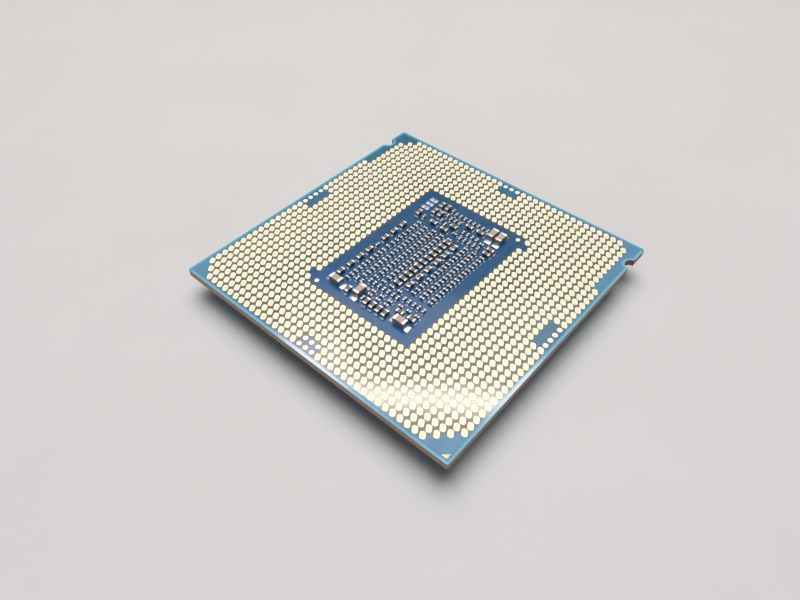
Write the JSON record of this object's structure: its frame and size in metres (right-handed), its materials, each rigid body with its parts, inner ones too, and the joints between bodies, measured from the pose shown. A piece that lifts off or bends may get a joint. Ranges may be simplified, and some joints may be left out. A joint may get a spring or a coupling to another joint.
{
  "type": "desktop processor",
  "caption": "Square land-grid desktop processor lying on its metal lid: blue laminate with tilted gold lands, a field of chip capacitors in the bare middle, and half-round edge notches.",
  "frame": {"origin": "middle of the lid's outer face, which is the lowest face as the part lies", "axes": "+Z out of the contact side, +X and +Y along the package edges, with the pin-one corner at (+X, -Y) and the key notches near the +Y edge"},
  "size_m": [0.0376, 0.0376, 0.0048],
  "materials": {
    "nickel": "satin nickel plate",
    "sealant": "matt black adhesive",
    "interface": "soft solder",
    "silicon": "polished",
    "underfill": "matt",
    "laminate": "glossy solder mask",
    "gold": "gold plate",
    "ceramic_small": "matt",
    "ceramic_large": "matt",
    "tin": "satin tin plate",
    "solder": "smooth solder"
  },
  "bodies": {
    "root": {"heat_spreader": "nickel", "lid_sealant": "sealant", "thermal_interface": "interface", "die": "silicon", "underfill": "underfill", "substrate": "laminate", "contact_lands": "gold", "test_lands": "gold", "fiducials": "gold", "pin_one_marks": "gold", "small_cap_bodies": "ceramic_small", "small_cap_ends": "tin", "small_cap_joints": "solder", "medium_cap_bodies": "ceramic_small", "medium_cap_ends": "tin", "medium_cap_joints": "solder", "large_cap_bodies": "ceramic_large", "large_cap_ends": "tin", "large_cap_joints": "solder", "bare_pads": "solder"}
  },
  "joints": []
}
